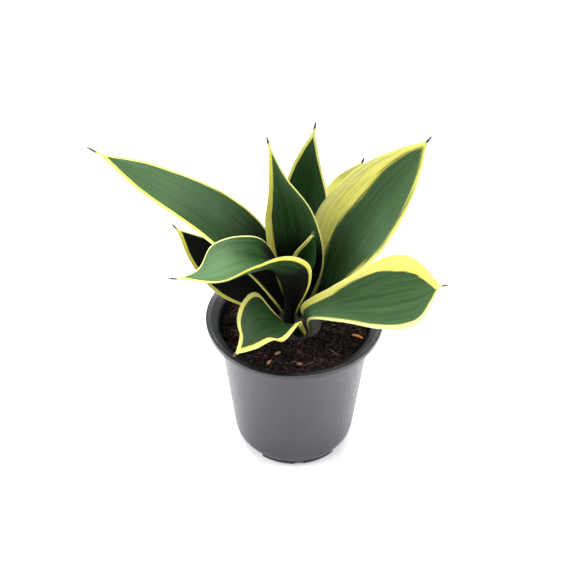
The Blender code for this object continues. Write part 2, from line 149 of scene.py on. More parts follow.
# Each leaf has the frame's own shape: the way it grows in degrees from +X, where its foot sits on the
# crown (degrees round it, share of its radius), the rest of its midrib up to the tip, and, spread
# evenly from foot to tip, its width, its roll about the midrib and how far each half cups up.
# Its looks: widths of the left and the right yellow margin, spread evenly from foot to tip; how cream
# each of them is; how soft and how streaky their inner border is; how grey the green is near the foot and
# near the tip, a grey that is partly the leaf's own glaucous tone and partly painted sheen; between which
# distances along the midrib the painted shade at the foot ends; how much of that painted shade the
# underside is spared; and how much lighter the right half is painted, as a painted sheen.
LEAVES = {
    "leaf_left_long": {
        "heading": 176,
        "foot": (135, 0.47),
        "path": ((-24, 6, 40), (-46, 5, 70), (-77, 3, 95), (-112, 4, 118)),
        "width": (12, 31, 38, 35, 28, 19, 0),
        "roll": (-12, -18, -24, -26, -28),
        "cup": (60, 50, 30, 22, 12),
        "left_margin": (2.6, 2.6, 2.4, 2.2, 2.0),
        "right_margin": (1.0, 1.0, 1.2, 1.4, 1.6),
        "cream": (0.1, 0.5),
        "soft": 0.4,
        "streaks": 0.3,
        "grey": (0.15, 0.50),
        "shade": (40, 84),
        "under_lit": 0.7,
        "sheen": 0.35,
    },
    "leaf_left_shaded": {
        "heading": 172,
        "foot": (-163, 0.58),
        "path": ((-26, 2, 14), (-42, 5, 27), (-56, 9, 43), (-71, 14, 60)),
        "width": (10, 26, 30, 24, 0),
        "roll": (0, -8, -20, -26, -30),
        "cup": (60, 50, 40, 35, 20),
        "left_margin": (2.0, 2.8, 3.6, 3.6, 2.8),
        "right_margin": (0.8, 0.8, 0.8, 0.8, 0.8),
        "cream": (0.1, 0.4),
        "soft": 0.4,
        "streaks": 0.3,
        "grey": (0.0, 0.0),
        "shade": (82, 150),
        "under_lit": 0.7,
        "sheen": 0.0,
    },
    "leaf_front_curled": {
        "heading": 200,
        "foot": (-125, 0.47),
        "path": ((-4, -10, 32), (-13, -18, 54), (-28, -27, 61), (-47, -36, 61), (-67, -42, 65)),
        "width": (9, 15, 31, 44, 46, 45, 38, 13, 0),
        "roll": (18, 28, 22, 12, 2, 0),
        "cup": (60, 70, 66, 56, 44, 20),
        "left_margin": (1.2, 1.8, 2.4, 2.6, 2.4, 2.2, 2.0),
        "right_margin": (0.6, 0.5, 0.5, 0.5, 0.6, 0.8, 0.8),
        "cream": (0.1, 0.9),
        "soft": 0.3,
        "streaks": 0.3,
        "grey": (0.05, 0.95),
        "shade": (47, 60),
        "under_lit": 0.0,
        "sheen": 0.0,
    },
    "leaf_center_upright": {
        "heading": 110,
        "foot": (81, 0.34),
        "path": ((3, 11, 40), (-2, 13, 70), (-10, 14, 94), (-16, 14, 119)),
        "width": (12, 36, 34, 13, 0),
        "roll": (-34, -34, -34, -36, -38),
        "cup": (60, 55, 45, 35, 15),
        "left_margin": (2.4, 4.0, 4.0, 2.6, 2.0),
        "right_margin": (1.0, 1.2, 1.2, 0.9, 0.8),
        "cream": (0.1, 0.5),
        "soft": 0.4,
        "streaks": 0.4,
        "grey": (0.20, 0.48),
        "shade": (38, 62),
        "under_lit": 0.7,
        "sheen": 0.15,
    },
    "leaf_back_upright": {
        "heading": 75,
        "foot": (113, 0.72),
        "path": ((4, 29, 36), (6, 36, 62), (7, 39, 86), (11, 38, 114)),
        "width": (12, 28, 32, 19, 0),
        "roll": (0, 3, 5, 8, 10),
        "cup": (60, 50, 40, 30, 15),
        "left_margin": (1.6, 1.8, 1.8, 2.0, 2.0),
        "right_margin": (1.4, 1.4, 1.6, 1.6, 1.6),
        "cream": (0.3, 0.6),
        "soft": 0.4,
        "streaks": 0.4,
        "grey": (0.06, 0.22),
        "shade": (38, 80),
        "under_lit": 0.7,
        "sheen": 0.05,
    },
    "leaf_back_right": {
        "heading": 50,
        "foot": (73, 0.76),
        "path": ((16, 37, 26), (28, 42, 50), (35, 49, 66), (40, 50, 83)),
        "width": (9, 24, 32, 24, 0),
        "roll": (8, 8, 8, 14, 20),
        "cup": (60, 50, 40, 30, 15),
        "left_margin": (6.0, 12.0, 14.0, 10.0, 4.0),
        "right_margin": (1.5, 2.0, 2.0, 2.0, 2.0),
        "cream": (0.2, 0.3),
        "soft": 0.8,
        "streaks": 0.6,
        "grey": (0.15, 0.15),
        "shade": (6, 26),
        "under_lit": 0.7,
        "sheen": 0.0,
    },
    "leaf_right_broad": {
        "heading": 25,
        "foot": (30, 0.76),
        "path": ((27, 13, 44), (44, 16, 75), (60, 15, 100), (73, 12, 121)),
        "width": (10, 32, 48, 45, 35, 19, 0),
        "roll": (20, 38, 40, 38, 36),
        "cup": (60, 52, 35, 25, 12),
        "left_margin": (3.0, 10.0, 15.0, 14.5, 9.0, 4.0, 2.5),
        "right_margin": (3.6, 3.6, 3.0, 2.2, 2.0, 1.8, 1.6),
        "cream": (0.25, 0.3),
        "soft": 1.6,
        "streaks": 0.75,
        "grey": (0.18, 0.42),
        "shade": (10, 34),
        "under_lit": 0.7,
        "sheen": 0.28,
    },
    "leaf_right_low": {
        "heading": -8,
        "foot": (-36, 0.7),
        "path": ((8, -17, 21), (25, -19, 29), (44, -18, 33), (66, -17, 38), (86, -21, 45)),
        "width": (8, 10, 13, 20, 28, 37, 43, 35, 0),
        "roll": (0, 40, 52, 54, 52, 45),
        "cup": (60, 45, 30, 22, 16, 10),
        "left_margin": (2.0, 2.4, 3.6, 4.2, 3.6, 5.5, 9.5, 9.0, 2.0),
        "right_margin": (1.0, 1.0, 1.2, 1.4, 1.8, 2.4, 3.2, 3.0, 2.0),
        "cream": (0.2, 0.8),
        "soft": 0.6,
        "streaks": 0.4,
        "grey": (0.70, 0.48),
        "shade": (10, 22),
        "under_lit": 0.7,
        "sheen": 0.15,
    },
    "leaf_front_small": {
        "heading": 232,
        "foot": (-76, 0.76),
        "path": ((-7, -26, 19), (-20, -36, 26), (-26, -48, 25), (-33, -59, 25)),
        "width": (9, 20, 42, 28, 12, 0),
        "roll": (30, 5, -22, -30, -35),
        "cup": (60, 55, 40, 35, 15),
        "left_margin": (2.0, 3.4, 4.0, 3.4, 2.0),
        "right_margin": (2.2, 2.6, 2.8, 2.6, 1.4),
        "cream": (0.15, 0.3),
        "soft": 0.4,
        "streaks": 0.4,
        "grey": (0.12, 0.30),
        "shade": (8, 24),
        "under_lit": 0.7,
        "sheen": 0.0,
    },
    "leaf_young_center": {
        "heading": 60,
        "foot": (-27, 0.12),
        "path": ((4, 2, 34), (7, 3, 46), (9, 2, 55), (10, 1, 65)),
        "width": (8, 17, 19, 12, 0),
        "roll": (0, 5, 5, 3, 0),
        "cup": (90, 90, 80, 70, 50),
        "left_margin": (1.2, 2.2, 3.0, 2.6, 1.6),
        "right_margin": (-0.6, -0.6, -0.6, -0.6, -0.6),
        "cream": (0.1, 0.1),
        "soft": 0.3,
        "streaks": 0.3,
        "grey": (0.08, 0.08),
        "shade": (22, 44),
        "under_lit": 0.7,
        "sheen": 0.0,
    },
}
LEAF_DARK = (0.0025, 0.011, 0.0025)
LEAF_GREEN = (0.010, 0.047, 0.005)
# The grey below serves both as the leaf's own glaucous tone and as the colour of painted sheen.
LEAF_GREY_AND_SHEEN = (0.072, 0.140, 0.058)
LEAF_SHADE = (0.0006, 0.0012, 0.0006)
LEAF_YELLOW = (0.66, 0.60, 0.065)
LEAF_CREAM = (0.56, 0.59, 0.27)
LEAF_MUTED = (0.26, 0.30, 0.085)
LEAF_SPINE = (0.075, 0.075, 0.055)

# Leaf pattern: streaks and clouds per half width and per millimetre of length, how far the glaucous grey,
# partly painted sheen, takes to grow, and the painted shade at the foot, which the margins are
# largely spared
STREAKS_ACROSS = 20.0
STREAKS_ALONG = 0.035
CLOUDS_ACROSS = 1.5
CLOUDS_ALONG = 0.05
MARGIN_RAGGEDNESS = 5.0
EDGE_ROUNDNESS = 8
LEAF_SHADE_DEPTH = 0.97
LEAF_SHADE_ROUGHNESS = (0.9, 0.9, 0.9)
GREY_REACH = 30.0
MARGIN_LIT = 0.88
MARGIN_DARK_FOOT = (6.0, 20.0)

# Colors of the pot, the soil and what lies on it
PLASTIC_DARK = (0.008, 0.0100, 0.0165)
PLASTIC_LIGHT = (0.015, 0.0175, 0.0270)
PLASTIC_SCUFF = (0.07, 0.072, 0.080)
# The rim's top is painted near black at the front and pale grey towards the back: a painted reflection.
RIM_PAINTED_DARK_FRONT = (0.0015, 0.0015, 0.002)
RIM_PAINTED_PALE_BACK = (0.070, 0.073, 0.082)
DRIED_SOIL = (0.020, 0.014, 0.010)
PEAT_BLACK = (0.0018, 0.0012, 0.0010)
PEAT_BROWN = (0.021, 0.009, 0.0055)
PEAT_MOTTLE = (0.016, 0.009, 0.006)
FIBRE_DARK = (0.014, 0.007, 0.004)
FIBRE_PALE = (0.13, 0.08, 0.04)
RHIZOME_DARK = (0.003, 0.002, 0.0015)
RHIZOME_PALE = (0.020, 0.012, 0.007)
CHIP_COLORS = {
    "bark_chip_orange": ((0.50, 0.17, 0.05), (0.28, 0.08, 0.025)),
    "bark_chip_tan": ((0.38, 0.24, 0.12), (0.20, 0.11, 0.05)),
    "bark_chip_red": ((0.20, 0.06, 0.03), (0.10, 0.03, 0.015)),
    "bark_chip_brown": ((0.30, 0.19, 0.10), (0.15, 0.08, 0.04)),
}

# Studio: paper floor, and each light's place in metres, its size in metres and its power in watts
FLOOR_REACH = 3000.0
FLOOR_COLORS = ((0.90, 0.90, 0.905), (0.91, 0.91, 0.915))
SOFTBOXES = {
    "softbox_left": ((-1.1, -0.15, 0.75), 0.9, 23),
    "softbox_right": ((1.1, 0.0, 0.75), 0.9, 19),
    "softbox_top": ((0.0, 0.35, 1.4), 1.2, 42),
}
ROOM_BRIGHTNESS = 0.40

# Camera
CAMERA_PLACE = (0.0, -475.5, 506.7)
CAMERA_PITCH = 39.43
CAMERA_YAW = 0.689
CAMERA_LENS = 67.45
CAMERA_SENSOR = 36.0


def make_object(name, vertices, faces, material, smooth=True):
    """One mesh object from millimetre vertices."""
    mesh = bpy.data.meshes.new(name)
    mesh.from_pydata((np.asarray(vertices, dtype=float) * MM).tolist(), [], faces)
    mesh.polygons.foreach_set("use_smooth", [smooth] * len(mesh.polygons))
    mesh.update()
    mesh.materials.append(material)
    item = bpy.data.objects.new(name, mesh)
    bpy.context.scene.collection.objects.link(item)
    return item


def add_attribute(item, name, values):
    attribute = item.data.attributes.new(name, "FLOAT", "POINT")
    attribute.data.foreach_set("value", np.asarray(values, dtype=float).ravel())


class Recipe:
    """A node material, written as a list of steps."""

    def __init__(self, name):
        self.material = bpy.data.materials.new(name)
        self.material.use_nodes = True
        self.tree = self.material.node_tree
        self.shader = self.tree.nodes["Principled BSDF"]

    def feed(self, socket, value):
        if isinstance(value, bpy.types.NodeSocket):
            self.tree.links.new(value, socket)
        elif isinstance(value, tuple) and len(value) == 3 and socket.type == "RGBA":
            socket.default_value = (*value, 1.0)
        else:
            socket.default_value = value

    def set(self, **values):
        for name, value in values.items():
            self.feed(self.shader.inputs[name.replace("_", " ")], value)

    def attribute(self, name):
        node = self.tree.nodes.new("ShaderNodeAttribute")
        node.attribute_name = name
        return node.outputs["Fac"]

    def place(self):
        return self.tree.nodes.new("ShaderNodeTexCoord").outputs["Object"]

    def split(self, vector):
        node = self.tree.nodes.new("ShaderNodeSeparateXYZ")
        self.feed(node.inputs[0], vector)
        return node.outputs

    def vector(self, x, y, z):
        node = self.tree.nodes.new("ShaderNodeCombineXYZ")
        for socket, value in zip(node.inputs, (x, y, z)):
            self.feed(socket, value)
        return node.outputs[0]

    def math(self, operation, first, second=0.0):
        node = self.tree.nodes.new("ShaderNodeMath")
        node.operation = operation
        self.feed(node.inputs[0], first)
        self.feed(node.inputs[1], second)
        return node.outputs[0]

    def noise(self, vector, scale, detail=2.0, roughness=0.5):
        node = self.tree.nodes.new("ShaderNodeTexNoise")
        self.feed(node.inputs["Vector"], vector)
        node.inputs["Scale"].default_value = scale
        node.inputs["Detail"].default_value = detail
        node.inputs["Roughness"].default_value = roughness
        return node.outputs["Fac"]

    def cells(self, vector, scale):
        node = self.tree.nodes.new("ShaderNodeTexVoronoi")
        self.feed(node.inputs["Vector"], vector)
        node.inputs["Scale"].default_value = scale
        return node.outputs["Distance"]

    def rise(self, value, low, high, start=0.0, end=1.0):
        """Smooth step of a value from start below low to end above high."""
        node = self.tree.nodes.new("ShaderNodeMapRange")
        node.interpolation_type = "SMOOTHSTEP"
        self.feed(node.inputs["Value"], value)
        self.feed(node.inputs["From Min"], low)
        self.feed(node.inputs["From Max"], high)
        self.feed(node.inputs["To Min"], start)
        self.feed(node.inputs["To Max"], end)
        return node.outputs["Result"]

    def mix(self, share, first, second):
        node = self.tree.nodes.new("ShaderNodeMix")
        node.data_type = "RGBA"
        self.feed(node.inputs["Factor"], share)
        self.feed(node.inputs[6], first)
        self.feed(node.inputs[7], second)
        return node.outputs[2]

    def bump(self, height, strength, distance):
        node = self.tree.nodes.new("ShaderNodeBump")
        node.inputs["Strength"].default_value = strength
        node.inputs["Distance"].default_value = distance
        self.feed(node.inputs["Height"], height)
        self.feed(self.shader.inputs["Normal"], node.outputs["Normal"])


def leaf_green(recipe, leaf, fine, broad, clouds):
    """Dark and mid green in fine lengthwise streaks, with a glaucous grey that is partly painted sheen,
    and a painted sheen that lightens one half.
    """
    green = recipe.mix(recipe.rise(fine, 0.34, 0.70), LEAF_DARK, LEAF_GREEN)
    foot_grey, tip_grey = leaf["grey"]
    grey_start = leaf["shade"][1]
    # The grey grows in where the painted shade ends: partly the leaf's own glaucous tone, partly painted
    # sheen where the leaf is lit.
    grey = recipe.rise(recipe.attribute("run"), grey_start, grey_start + GREY_REACH, foot_grey, tip_grey)
    bloom_and_sheen = recipe.math("MULTIPLY", recipe.rise(broad, 0.25, 0.75, 0.60, 1.0), grey)
    # Painted sheen: one half of each leaf is painted lighter, towards the grey, in soft clouds.
    painted_sheen_share = recipe.rise(recipe.attribute("across"), -1.0, 0.3, leaf["sheen"], 0.0)
    painted_sheen_share = recipe.math("MULTIPLY", painted_sheen_share, recipe.rise(clouds, 0.20, 0.80, 0.55, 1.0))
    green = recipe.mix(recipe.math("ADD", bloom_and_sheen, painted_sheen_share), green, LEAF_GREY_AND_SHEEN)
    freckles = recipe.noise(recipe.place(), scale=900.0, detail=3.0, roughness=0.6)
    return recipe.mix(recipe.rise(freckles, 0.62, 0.72, 0.0, 0.22), green, LEAF_GREY_AND_SHEEN)


def leaf_margin(recipe, leaf, left, right, fine, broad):
    """Yellow to cream margin, palest at its very edge, partly as a painted highlight,
    and streaked with dull green.
    """
    left_cream, right_cream = leaf["cream"]
    cream = recipe.math("MULTIPLY", left, left_cream)
    cream = recipe.math("MAXIMUM", cream, recipe.math("MULTIPLY", right, right_cream))
    # The palest band along the very edge is partly the margin's cream and partly a painted highlight on the
    # rounded edge.
    cream = recipe.math("MAXIMUM", cream, recipe.rise(recipe.attribute("edge_gap"), 0.1, 1.0, 0.7, 0.0))
    yellow = recipe.mix(cream, LEAF_YELLOW, LEAF_CREAM)
    yellow = recipe.mix(recipe.rise(broad, 0.45, 0.70, 0.0, 0.35), yellow, LEAF_CREAM)
    return recipe.mix(recipe.rise(fine, 0.46, 0.74, 0.0, leaf["streaks"]), yellow, LEAF_MUTED)


def leaf_material(name, leaf, seed):
    """Green leaf skin with lengthwise streaks, yellow margins, a brown spine and a shaded foot."""
    recipe = Recipe(f"{name}_skin")
    across = recipe.attribute("across")
    run = recipe.attribute("run")
    streak_across = recipe.math("MULTIPLY", across, STREAKS_ACROSS)
    streak_place = recipe.vector(streak_across, recipe.math("MULTIPLY", run, STREAKS_ALONG), seed)
    cloud_across = recipe.math("MULTIPLY", across, CLOUDS_ACROSS)
    cloud_place = recipe.vector(cloud_across, recipe.math("MULTIPLY", run, CLOUDS_ALONG), seed)
    fine = recipe.noise(streak_place, scale=1.1, detail=4.0, roughness=0.65)
    broad = recipe.noise(streak_place, scale=0.28, detail=2.0)
    clouds = recipe.noise(cloud_place, scale=1.2, detail=2.0)

    soft = leaf["soft"]
    fringe = recipe.noise(streak_place, scale=0.9, detail=5.0, roughness=0.7)
    ragged = recipe.math("MULTIPLY", recipe.math("SUBTRACT", fringe, 0.5), MARGIN_RAGGEDNESS * soft)
    left_edge = recipe.math("ADD", recipe.attribute("left_band"), ragged)
    right_edge = recipe.math("ADD", recipe.attribute("right_band"), ragged)
    left = recipe.rise(left_edge, -soft, soft, 1.0, 0.0)
    right = recipe.rise(right_edge, -soft, soft, 1.0, 0.0)
    margin = recipe.math("MAXIMUM", left, right)
    green = leaf_green(recipe, leaf, fine, broad, clouds)
    skin = recipe.mix(margin, green, leaf_margin(recipe, leaf, left, right, fine, broad))

    shade_start, shade_end = leaf["shade"]
    reach = recipe.math("ADD", run, recipe.rise(fine, 0.2, 0.8, -3.0, 3.0))
    shade = recipe.rise(reach, shade_start, shade_end, LEAF_SHADE_DEPTH, 0.0)
    under_lit = recipe.math("MULTIPLY", recipe.attribute("under"), leaf["under_lit"])
    shade = recipe.math("MULTIPLY", shade, recipe.math("SUBTRACT", 1.0, under_lit))
    lit = recipe.math("MULTIPLY", margin, recipe.rise(run, *MARGIN_DARK_FOOT, 0.0, MARGIN_LIT))
    shade = recipe.math("MULTIPLY", shade, recipe.math("SUBTRACT", 1.0, lit))
    skin = recipe.mix(shade, skin, LEAF_SHADE)
    skin = recipe.mix(recipe.rise(recipe.attribute("spine"), -1.0, 1.5), skin, LEAF_SPINE)
    roughness = recipe.mix(shade, recipe.rise(fine, 0.2, 0.8, 0.36, 0.50), LEAF_SHADE_ROUGHNESS)
    recipe.set(Base_Color=skin, Roughness=roughness, Specular_IOR_Level=0.12)
    grain = recipe.noise(recipe.place(), scale=1400.0, detail=3.0, roughness=0.6)
    relief = recipe.math("ADD", recipe.math("MULTIPLY", fine, 0.6), recipe.math("MULTIPLY", grain, 0.2))
    recipe.bump(relief, strength=0.35, distance=0.00025)
    return recipe.material


def along(values, shares):
    """A smooth curve through evenly spaced values, read at shares of its length from 0 to 1."""
    values = np.array(values, dtype=float)
    last = len(values) - 1
    ends = np.concatenate([[2 * values[0] - values[1]], values, [2 * values[-1] - values[-2]]])
    places = np.clip(shares, 0, 1) * last
    index = np.minimum(places.astype(int), last - 1)
    step = places - index
    if values.ndim > 1:
        step = step[:, None]
    before, start, end, after = (ends[index + shift] for shift in range(4))
    return 0.5 * (
        2 * start
        + (end - before) * step
        + (2 * before - 5 * start + 4 * end - after) * step ** 2
        + (3 * start - before - 3 * end + after) * step ** 3
    )


def unit(vectors):
    return vectors / np.linalg.norm(vectors, axis=-1, keepdims=True)


def foot_point(turn, out):
    """Where a leaf's foot starts: under the crown's skin, measured from above the crown's middle."""
    turn = math.radians(turn)
    rise = CROWN_SEMI_HEIGHT * math.sqrt(1 - out ** 2) - CROWN_DEPTH
    return (out * CROWN_RADIUS * math.cos(turn), out * CROWN_RADIUS * math.sin(turn), rise - FOOT_SUNK)


def leaf_frame(leaf, shares):
    """Midrib points, across and face directions, half widths and cup angles along a leaf."""
    path = (foot_point(*leaf["foot"]), *leaf["path"])
    small = 0.001
    ahead = unit(along(path, shares + small) - along(path, shares - small))
    heading = math.radians(leaf["heading"])
    left = np.array((-math.sin(heading), math.cos(heading), 0))
    left = unit(left - (ahead @ left)[:, None] * ahead)
    up = np.cross(ahead, left)
    roll = np.radians(along(leaf["roll"], shares))[:, None]
    across = np.cos(roll) * left + np.sin(roll) * up
    face = np.cos(roll) * up - np.sin(roll) * left
    blade = along(leaf["width"], shares / (1 - SPINE_SHARE)) / 2
    spine = SPINE_HALF_WIDTH * np.sqrt(np.clip((1 - shares) / SPINE_SHARE, 0, 1))
    half_width = np.maximum(np.maximum(blade, spine), SPINE_POINT)
    return along(path, shares), across, face, half_width, np.radians(along(leaf["cup"], shares))


def make_leaf(name, leaf, seed):
    """A fleshy leaf: a rounded lens section swept along its midrib, closed at its foot and its tip."""
    shares = np.linspace(0, 1, LEAF_STEPS + 1)
    points, across, face, half_width, cup = leaf_frame(leaf, shares)
    turn = 2 * math.pi * np.arange(LEAF_ROUND) / LEAF_ROUND
    offset = np.cos(turn)
    side = np.sign(np.sin(turn))
    angle = offset[None, :] * cup[:, None]
    reach = (half_width / cup)[:, None]
    middle = points[:, None] + (reach * np.sin(angle))[..., None] * across[:, None]
    middle = middle + (reach * (1 - np.cos(angle)))[..., None] * face[:, None]
    normal = np.cos(angle)[..., None] * face[:, None] - np.sin(angle)[..., None] * across[:, None]
    edge = LEAF_EDGE * np.sqrt(np.clip(1 - offset ** EDGE_ROUNDNESS, 0, 1))
    thickness = edge + (LEAF_THICKNESS - LEAF_EDGE) * (1 - offset ** 2)
    thinning = np.maximum(1 - TIP_THINNING * shares ** 2, THINNEST)
    skin = middle + normal * (thinning[:, None] * (side * thickness)[None, :] / 2)[..., None]
    faces = ring_faces(LEAF_STEPS + 1, LEAF_ROUND)
    faces.append(tuple(reversed(range(LEAF_ROUND))))
    faces.append(tuple(LEAF_STEPS * LEAF_ROUND + corner for corner in range(LEAF_ROUND)))
    vertices = (skin + ABOVE_CROWN).reshape(-1, 3)
    item = make_object(name + "_blade", vertices, faces, leaf_material(name, leaf, seed))

    length = np.concatenate([[0], np.cumsum(np.linalg.norm(np.diff(points, axis=0), axis=1))])[:, None]
    left_gap = (1 - offset)[None, :] * half_width[:, None]
    right_gap = (1 + offset)[None, :] * half_width[:, None]
    left_margin = along(leaf["left_margin"], shares)[:, None]
    right_margin = along(leaf["right_margin"], shares)[:, None]
    add_attribute(item, "across", np.broadcast_to(offset, angle.shape))
    add_attribute(item, "under", np.broadcast_to(side < 0, angle.shape))
    add_attribute(item, "run", np.broadcast_to(length, angle.shape))
    add_attribute(item, "spine", np.broadcast_to(length - length[-1] * (1 - SPINE_SHARE), angle.shape))
    add_attribute(item, "left_band", left_gap - left_margin)
    add_attribute(item, "right_band", right_gap - right_margin)
    add_attribute(item, "edge_gap", np.minimum(left_gap, right_gap))
    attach(item, "root")
    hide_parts(name)


def ring_faces(rings, spokes):
    """Quads that join equal rings of vertices, one ring after the other."""
    faces = []
    for ring in range(rings - 1):
        for spoke in range(spokes):
            near = ring * spokes
            following = (spoke + 1) % spokes
            faces.append((near + spoke, near + following, near + spokes + following, near + spokes + spoke))
    return faces


def turned_body(profile, segments):
    """Vertices and faces of a solid of revolution whose profile starts and ends on the axis."""
    angles = 2 * math.pi * np.arange(segments) / segments
    vertices = []
    for radius, height in profile[1:-1]:
        ring = np.stack([radius * np.cos(angles), radius * np.sin(angles), np.full(segments, height)], axis=1)
        vertices.extend(ring.tolist())
    rings = len(profile) - 2
    faces = ring_faces(rings, segments)
    pole = len(vertices)
    vertices.append((0, 0, profile[0][1]))
    vertices.append((0, 0, profile[-1][1]))
    last_ring = (rings - 1) * segments
    for segment in range(segments):
        following = (segment + 1) % segments
        faces.append((pole, following, segment))
        faces.append((pole + 1, last_ring + segment, last_ring + following))
    return vertices, faces


def wall_radius(height):
    """Outer radius of the tapering wall, drawn in at the rounded corner by the base."""
    radius = WALL_BASE_RADIUS + (WALL_TOP_RADIUS - WALL_BASE_RADIUS) * height / POT_HEIGHT
    below = max(0.0, 1 - (height - FOOT_HEIGHT) / (CORNER_HEIGHT - FOOT_HEIGHT))
    return radius - CORNER_INSET * below ** 2


def inner_radius(height):
    """Inner radius of the tapering wall."""
    return wall_radius(height) - WALL


def rounded(profile, radius):
    """The same profile with each corner between its ends turned into a short arc of about one radius."""
    result = [profile[0]]
    for before, corner, after in zip(profile[:-2], profile[1:-1], profile[2:]):
        before, corner, after = (Vector(point) for point in (before, corner, after))
        back = before - corner
        ahead = after - corner
        start = corner + back.normalized() * min(radius, back.length * ARC_MOST)
        end = corner + ahead.normalized() * min(radius, ahead.length * ARC_MOST)
        for step in range(ARC_STEPS + 1):
            share = step / ARC_STEPS
            point = start * (1 - share) ** 2 + corner * 2 * share * (1 - share) + end * share ** 2
            result.append(tuple(point))
    result.append(profile[-1])
    return result


def pot_profile():
    """The pot's section, from the middle of its underside round the rim to the middle of its base."""
    base_top = FOOT_HEIGHT + BASE_THICKNESS
    lip_bottom = POT_HEIGHT - LIP
    collar_bottom = POT_HEIGHT - COLLAR_DROP
    foot_radius = wall_radius(FOOT_HEIGHT) - FOOT_INSET
    corner_middle = (FOOT_HEIGHT + CORNER_HEIGHT) / 2
    flange_inside = RIM_RADIUS - FLANGE
    profile = [
        (0, 0),
        (BOSS_RADIUS, 0),
        (BOSS_RADIUS, FOOT_HEIGHT),
        (foot_radius - FOOT_WIDTH, FOOT_HEIGHT),
        (foot_radius - FOOT_WIDTH, 0),
        (foot_radius, 0),
        (foot_radius, FOOT_HEIGHT + FOOT_BEVEL),
        (wall_radius(FOOT_HEIGHT), FOOT_HEIGHT + 2 * FOOT_BEVEL),
        (wall_radius(corner_middle), corner_middle),
        (wall_radius(CORNER_HEIGHT), CORNER_HEIGHT),
        (wall_radius(collar_bottom), collar_bottom),
        (wall_radius(collar_bottom) + COLLAR_STEP, collar_bottom + COLLAR_STEP),
        (wall_radius(lip_bottom) + COLLAR_STEP, lip_bottom),
        (RIM_RADIUS, lip_bottom),
        (RIM_RADIUS, POT_HEIGHT),
        (RIM_RADIUS - RIM_BEVEL, POT_HEIGHT),
        (RIM_RADIUS - 2 * RIM_BEVEL, POT_HEIGHT - RIM_SINK),
        (flange_inside + RIM_BEVEL, POT_HEIGHT - RIM_SINK),
        (flange_inside, POT_HEIGHT - RIM_SINK - RIM_BEVEL),
        (inner_radius(lip_bottom), lip_bottom - WALL),
        (inner_radius(CORNER_HEIGHT), CORNER_HEIGHT),
        (inner_radius(corner_middle), corner_middle),
        (inner_radius(base_top) - SOIL_CORNER, base_top),
        (0, base_top),
    ]
    return rounded(profile, FOOT_BEVEL)


def sector_block(middle, width, inner, outer, bottom, top):
    """Vertices and faces of a curved block between two radii and two heights, centred on one angle."""
    steps = max(2, round(width / SECTOR_STEP))
    vertices = []
    for step in range(steps + 1):
        angle = math.radians(middle + width * (step / steps - 0.5))
        for radius, height in ((inner, bottom), (outer, bottom), (outer, top), (inner, top)):
            vertices.append((radius * math.cos(angle), radius * math.sin(angle), height))
    last = steps * 4
    faces = ring_faces(steps + 1, 4) + [(3, 2, 1, 0), (last, last + 1, last + 2, last + 3)]
    return vertices, faces


def plastic_material():
    """Dark blue-grey satin plastic, mottled and lightly scuffed, with soil specks and a glossy rim,
    whose top is painted dark at the front and pale towards the back as a painted reflection.
    """
    recipe = Recipe("pot_plastic_skin")
    place = recipe.place()
    height = recipe.split(place)[2]
    mottle = recipe.noise(place, scale=60.0, detail=3.0)
    grain = recipe.noise(place, scale=2600.0, detail=2.0)
    scuffs = recipe.noise(place, scale=420.0, detail=5.0, roughness=0.7)
    color = recipe.mix(mottle, PLASTIC_DARK, PLASTIC_LIGHT)
    color = recipe.mix(recipe.rise(scuffs, 0.60, 0.75, 0.0, 0.25), color, PLASTIC_SCUFF)
    dots = recipe.rise(recipe.cells(place, 210.0), 0.10, 0.16, 1.0, 0.0)
    patches = recipe.rise(recipe.noise(place, scale=95.0, detail=3.0), 0.58, 0.66)
    upper = recipe.rise(height, POT_HEIGHT * MM * 0.35, POT_HEIGHT * MM * 0.95, 0.25, 1.0)
    specks = recipe.math("MULTIPLY", recipe.math("MULTIPLY", dots, patches), upper)
    color = recipe.mix(specks, color, DRIED_SOIL)
    rim = recipe.rise(height, (POT_HEIGHT - LIP - 0.5) * MM, (POT_HEIGHT - LIP + 0.1) * MM)
    # Painted reflection: the rim's top goes from near black at the front to pale grey towards the back.
    painted_rim_light = recipe.rise(recipe.split(place)[1], -0.8 * RIM_RADIUS * MM, -0.3 * RIM_RADIUS * MM)
    painted_rim_color = recipe.mix(painted_rim_light, RIM_PAINTED_DARK_FRONT, RIM_PAINTED_PALE_BACK)
    color = recipe.mix(recipe.math("MULTIPLY", rim, 0.85), color, painted_rim_color)
    roughness = recipe.rise(scuffs, 0.3, 0.7, 0.28, 0.40)
    roughness = recipe.mix(rim, roughness, recipe.rise(mottle, 0.3, 0.7, 0.20, 0.26))
    recipe.set(Base_Color=color, Roughness=roughness, Specular_IOR_Level=0.5)
    wall = recipe.math("SUBTRACT", 1.0, rim)
    relief = recipe.math("ADD", recipe.math("MULTIPLY", grain, recipe.math("MULTIPLY", wall, 0.3)), specks)
    recipe.bump(relief, strength=0.25, distance=0.0003)
    return recipe.material


